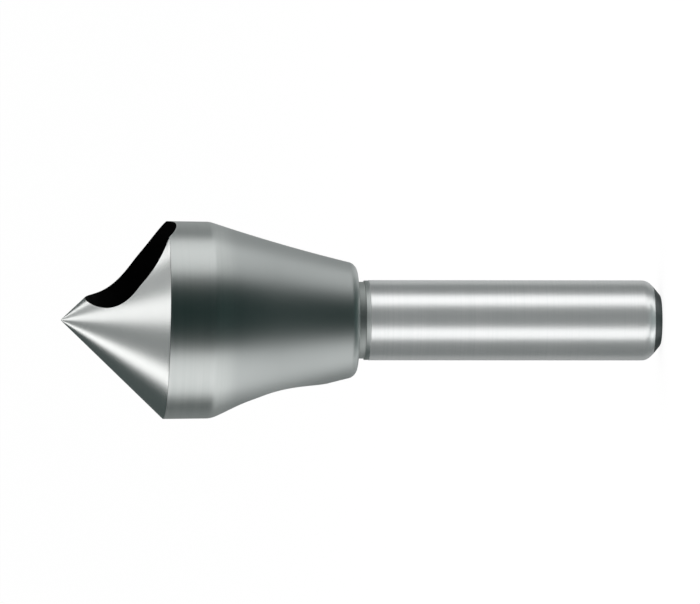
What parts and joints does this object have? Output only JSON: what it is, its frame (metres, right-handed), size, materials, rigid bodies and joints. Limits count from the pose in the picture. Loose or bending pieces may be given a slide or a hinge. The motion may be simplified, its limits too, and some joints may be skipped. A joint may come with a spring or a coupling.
{
  "type": "cross-hole deburring countersink",
  "caption": "One-piece deburring countersink: a ground cone with a slanted through hole whose rim cuts, on a tapered head and a plain round shank.",
  "frame": {"origin": "centre of the shank's end face, where the tool stands", "axes": "+Z along the shank to the point, +X the side that the cross hole's mouth looks to"},
  "size_m": [0.0296, 0.0296, 0.09],
  "materials": {
    "ground_steel": "ground and polished high-speed steel"
  },
  "bodies": {
    "root": {"countersink": "ground_steel"}
  },
  "joints": []
}
